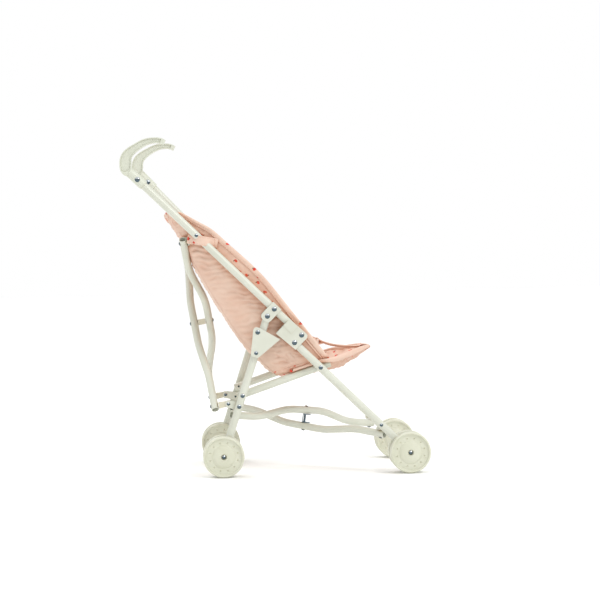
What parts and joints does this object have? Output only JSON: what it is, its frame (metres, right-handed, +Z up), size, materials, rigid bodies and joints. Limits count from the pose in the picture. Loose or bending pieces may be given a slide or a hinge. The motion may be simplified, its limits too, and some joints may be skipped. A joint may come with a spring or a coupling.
{
  "type": "doll stroller",
  "caption": "Umbrella-fold doll buggy with hooked handles, a fabric sling seat, crossed folding tubes and twin wheels on each leg.",
  "frame": {"origin": "on the floor under the middle of the bounding box", "axes": "+Z up, the front of the stroller towards -Y, its right side at -X"},
  "size_m": [0.259, 0.4821, 0.5388],
  "materials": {
    "frame_paint": "warm ivory powder coat, satin",
    "wheel_plastic": "moulded ivory plastic, semi-gloss",
    "grip_plastic": "moulded ivory plastic, satin",
    "spacer_plastic": "moulded cream plastic",
    "bright_steel": "bright plated steel",
    "sling_fabric": "woven cotton, peach pink with small red cherries"
  },
  "bodies": {
    "right_rear": {"right_rear_leg": "frame_paint", "right_rear_bracket": "frame_paint", "right_rear_leg_rivets": "bright_steel"},
    "right_lever": {"right_lock_lever": "frame_paint"},
    "right_handle": {"right_handle_tube": "frame_paint", "right_grip": "grip_plastic", "right_link_bracket": "frame_paint", "right_handle_rivets": "bright_steel", "seat_back": "sling_fabric", "right_side_wing": "sling_fabric"},
    "right_saddle": {"right_upper_bracket": "frame_paint"},
    "right_front": {"right_front_leg": "frame_paint", "right_latch_bracket": "frame_paint", "right_front_leg_rivets": "bright_steel"},
    "right_shoe": {"right_front_bracket": "frame_paint"},
    "right_rail": {"right_seat_rail": "frame_paint", "seat_base": "sling_fabric", "front_flap": "sling_fabric", "lap_belt": "sling_fabric", "crotch_strap": "sling_fabric"},
    "right_turning_knuckle": {"right_knuckle": "spacer_plastic"},
    "right_rear_wheels": {"right_rear_axle": "bright_steel", "right_rear_outer_wheel": "wheel_plastic", "right_rear_inner_wheel": "wheel_plastic"},
    "right_front_wheels": {"right_front_axle": "bright_steel", "right_front_outer_wheel": "wheel_plastic", "right_front_inner_wheel": "wheel_plastic"},
    "left_rear": {"left_rear_leg": "frame_paint", "left_rear_bracket": "frame_paint", "left_rear_leg_rivets": "bright_steel"},
    "left_lever": {"left_lock_lever": "frame_paint"},
    "left_handle": {"left_handle_tube": "frame_paint", "left_grip": "grip_plastic", "left_link_bracket": "frame_paint", "left_handle_rivets": "bright_steel", "left_side_wing": "sling_fabric"},
    "left_saddle": {"left_upper_bracket": "frame_paint"},
    "left_front": {"left_front_leg": "frame_paint", "left_latch_bracket": "frame_paint", "left_front_leg_rivets": "bright_steel"},
    "left_shoe": {"left_front_bracket": "frame_paint"},
    "left_rail": {"left_seat_rail": "frame_paint"},
    "left_turning_knuckle": {"left_knuckle": "spacer_plastic"},
    "left_rear_wheels": {"left_rear_axle": "bright_steel", "left_rear_outer_wheel": "wheel_plastic", "left_rear_inner_wheel": "wheel_plastic"},
    "left_front_wheels": {"left_front_axle": "bright_steel", "left_front_outer_wheel": "wheel_plastic", "left_front_inner_wheel": "wheel_plastic"},
    "rear_cross_rear": {"rear_cross_tube_rear": "frame_paint", "rear_cross_spacer": "spacer_plastic", "rear_cross_rivets": "bright_steel"},
    "rear_cross_front": {"rear_cross_tube_front": "frame_paint", "front_cross_rivets": "bright_steel"},
    "lower_cross_top": {"lower_cross_tube_top": "frame_paint", "lower_cross_top_rivets": "bright_steel"},
    "lower_cross_bottom": {"lower_cross_tube_bottom": "frame_paint", "lower_cross_spacer": "bright_steel", "lower_cross_bottom_rivets": "bright_steel"}
  },
  "joints": [
    {"name": "fold", "type": "hinge", "parent": "right_rear", "child": "right_handle", "pos_m": [-0.11, 0.01308, 0.25226], "axis": [1, 0, 0], "range_deg": [0, 60], "deforming": ["seat_back", "right_side_wing", "left_side_wing", "seat_base", "front_flap", "lap_belt", "crotch_strap"]},
    {"name": "left_side_close", "type": "slide", "parent": "right_rear", "child": "left_rear", "axis": [-1, 0, 0], "range_m": [0, 0.1066]},
    {"name": "left_handle_turn", "type": "hinge", "parent": "left_rear", "child": "left_handle", "pos_m": [0.11, 0.01308, 0.25226], "axis": [1, 0, 0], "range_deg": [0, 60]},
    {"name": "right_front_turn", "type": "hinge", "parent": "right_handle", "child": "right_front", "pos_m": [-0.11, -0.04036, 0.22147], "axis": [1, 0, 0], "range_deg": [-148.78, 0]},
    {"name": "right_rail_turn", "type": "hinge", "parent": "right_front", "child": "right_rail", "pos_m": [-0.102, -0.06974, 0.16947], "axis": [1, 0, 0], "range_deg": [0, 63.29]},
    {"name": "right_saddle_turn", "type": "hinge", "parent": "right_handle", "child": "right_saddle", "pos_m": [-0.103, 0.12236, 0.38148], "axis": [1, 0, 0], "range_deg": [-28.17, 0]},
    {"name": "right_knuckle_turn", "type": "hinge", "parent": "right_rear", "child": "right_turning_knuckle", "pos_m": [-0.097, 0.07681, 0.1143], "axis": [1, 0, 0], "range_deg": [0, 31.83]},
    {"name": "right_shoe_turn", "type": "hinge", "parent": "right_front", "child": "right_shoe", "pos_m": [-0.103, -0.16447, 0.07638], "axis": [1, 0, 0], "range_deg": [0, 34.25]},
    {"name": "right_lever_turn", "type": "hinge", "parent": "right_rear", "child": "right_lever", "pos_m": [-0.11, 0.03217, 0.19474], "axis": [1, 0, 0], "range_deg": [-25, 0]},
    {"name": "left_front_turn", "type": "hinge", "parent": "left_handle", "child": "left_front", "pos_m": [0.11, -0.04036, 0.22147], "axis": [1, 0, 0], "range_deg": [-148.78, 0]},
    {"name": "left_rail_turn", "type": "hinge", "parent": "left_front", "child": "left_rail", "pos_m": [0.102, -0.06974, 0.16947], "axis": [1, 0, 0], "range_deg": [0, 63.29]},
    {"name": "left_saddle_turn", "type": "hinge", "parent": "left_handle", "child": "left_saddle", "pos_m": [0.103, 0.11693, 0.38665], "axis": [1, 0, 0], "range_deg": [-28.17, 0]},
    {"name": "left_knuckle_turn", "type": "hinge", "parent": "left_rear", "child": "left_turning_knuckle", "pos_m": [0.097, 0.07681, 0.1143], "axis": [1, 0, 0], "range_deg": [0, 31.83]},
    {"name": "left_shoe_turn", "type": "hinge", "parent": "left_front", "child": "left_shoe", "pos_m": [0.103, -0.16447, 0.07638], "axis": [1, 0, 0], "range_deg": [0, 34.25]},
    {"name": "left_lever_turn", "type": "hinge", "parent": "left_rear", "child": "left_lever", "pos_m": [0.11, 0.03217, 0.19474], "axis": [1, 0, 0], "range_deg": [-25, 0]},
    {"name": "rear_tube_rear_swing", "type": "hinge", "parent": "right_turning_knuckle", "child": "rear_cross_rear", "pos_m": [-0.094, 0.0985, 0.1106], "axis": [0, 0.9858, -0.168], "range_deg": [-20.97, 0]},
    {"name": "rear_tube_front_swing", "type": "hinge", "parent": "left_turning_knuckle", "child": "rear_cross_front", "pos_m": [0.094, 0.0985, 0.1106], "axis": [0, 0.9858, -0.168], "range_deg": [0, 20.97]},
    {"name": "lower_tube_bottom_swing", "type": "hinge", "parent": "right_shoe", "child": "lower_cross_bottom", "pos_m": [-0.094, -0.166, 0.0603], "axis": [0, -0.1479, 0.989], "range_deg": [0, 23]},
    {"name": "lower_tube_top_swing", "type": "hinge", "parent": "left_shoe", "child": "lower_cross_top", "pos_m": [0.094, -0.166, 0.0603], "axis": [0, -0.1479, 0.989], "range_deg": [-23, 0]},
    {"name": "right_rear_wheels_roll", "type": "hinge", "parent": "right_rear", "child": "right_rear_wheels", "pos_m": [-0.11, 0.08601, 0.0325], "axis": [1, 0, 0], "continuous": true},
    {"name": "right_front_wheels_roll", "type": "hinge", "parent": "right_front", "child": "right_front_wheels", "pos_m": [-0.11, -0.20912, 0.0325], "axis": [1, 0, 0], "continuous": true},
    {"name": "left_rear_wheels_roll", "type": "hinge", "parent": "left_rear", "child": "left_rear_wheels", "pos_m": [0.11, 0.08601, 0.0325], "axis": [1, 0, 0], "continuous": true},
    {"name": "left_front_wheels_roll", "type": "hinge", "parent": "left_front", "child": "left_front_wheels", "pos_m": [0.11, -0.20912, 0.0325], "axis": [1, 0, 0], "continuous": true}
  ],
  "couplings": [
    {"joint": "left_side_close", "follows": "fold", "m_per_rad": 0.10178},
    {"joint": "left_handle_turn", "follows": "fold", "ratio": 1},
    {"joint": "right_front_turn", "follows": "fold", "ratio": -2.4796},
    {"joint": "right_rail_turn", "follows": "fold", "ratio": 1.0548},
    {"joint": "right_saddle_turn", "follows": "fold", "ratio": -0.46955},
    {"joint": "right_knuckle_turn", "follows": "fold", "ratio": 0.53045},
    {"joint": "right_shoe_turn", "follows": "fold", "ratio": 0.57079},
    {"joint": "left_front_turn", "follows": "fold", "ratio": -2.4796},
    {"joint": "left_rail_turn", "follows": "fold", "ratio": 1.0548},
    {"joint": "left_saddle_turn", "follows": "fold", "ratio": -0.46955},
    {"joint": "left_knuckle_turn", "follows": "fold", "ratio": 0.53045},
    {"joint": "left_shoe_turn", "follows": "fold", "ratio": 0.57079},
    {"joint": "rear_tube_rear_swing", "follows": "fold", "ratio": -0.3495},
    {"joint": "rear_tube_front_swing", "follows": "fold", "ratio": 0.3495},
    {"joint": "lower_tube_bottom_swing", "follows": "fold", "ratio": 0.38328},
    {"joint": "lower_tube_top_swing", "follows": "fold", "ratio": -0.38328}
  ]
}
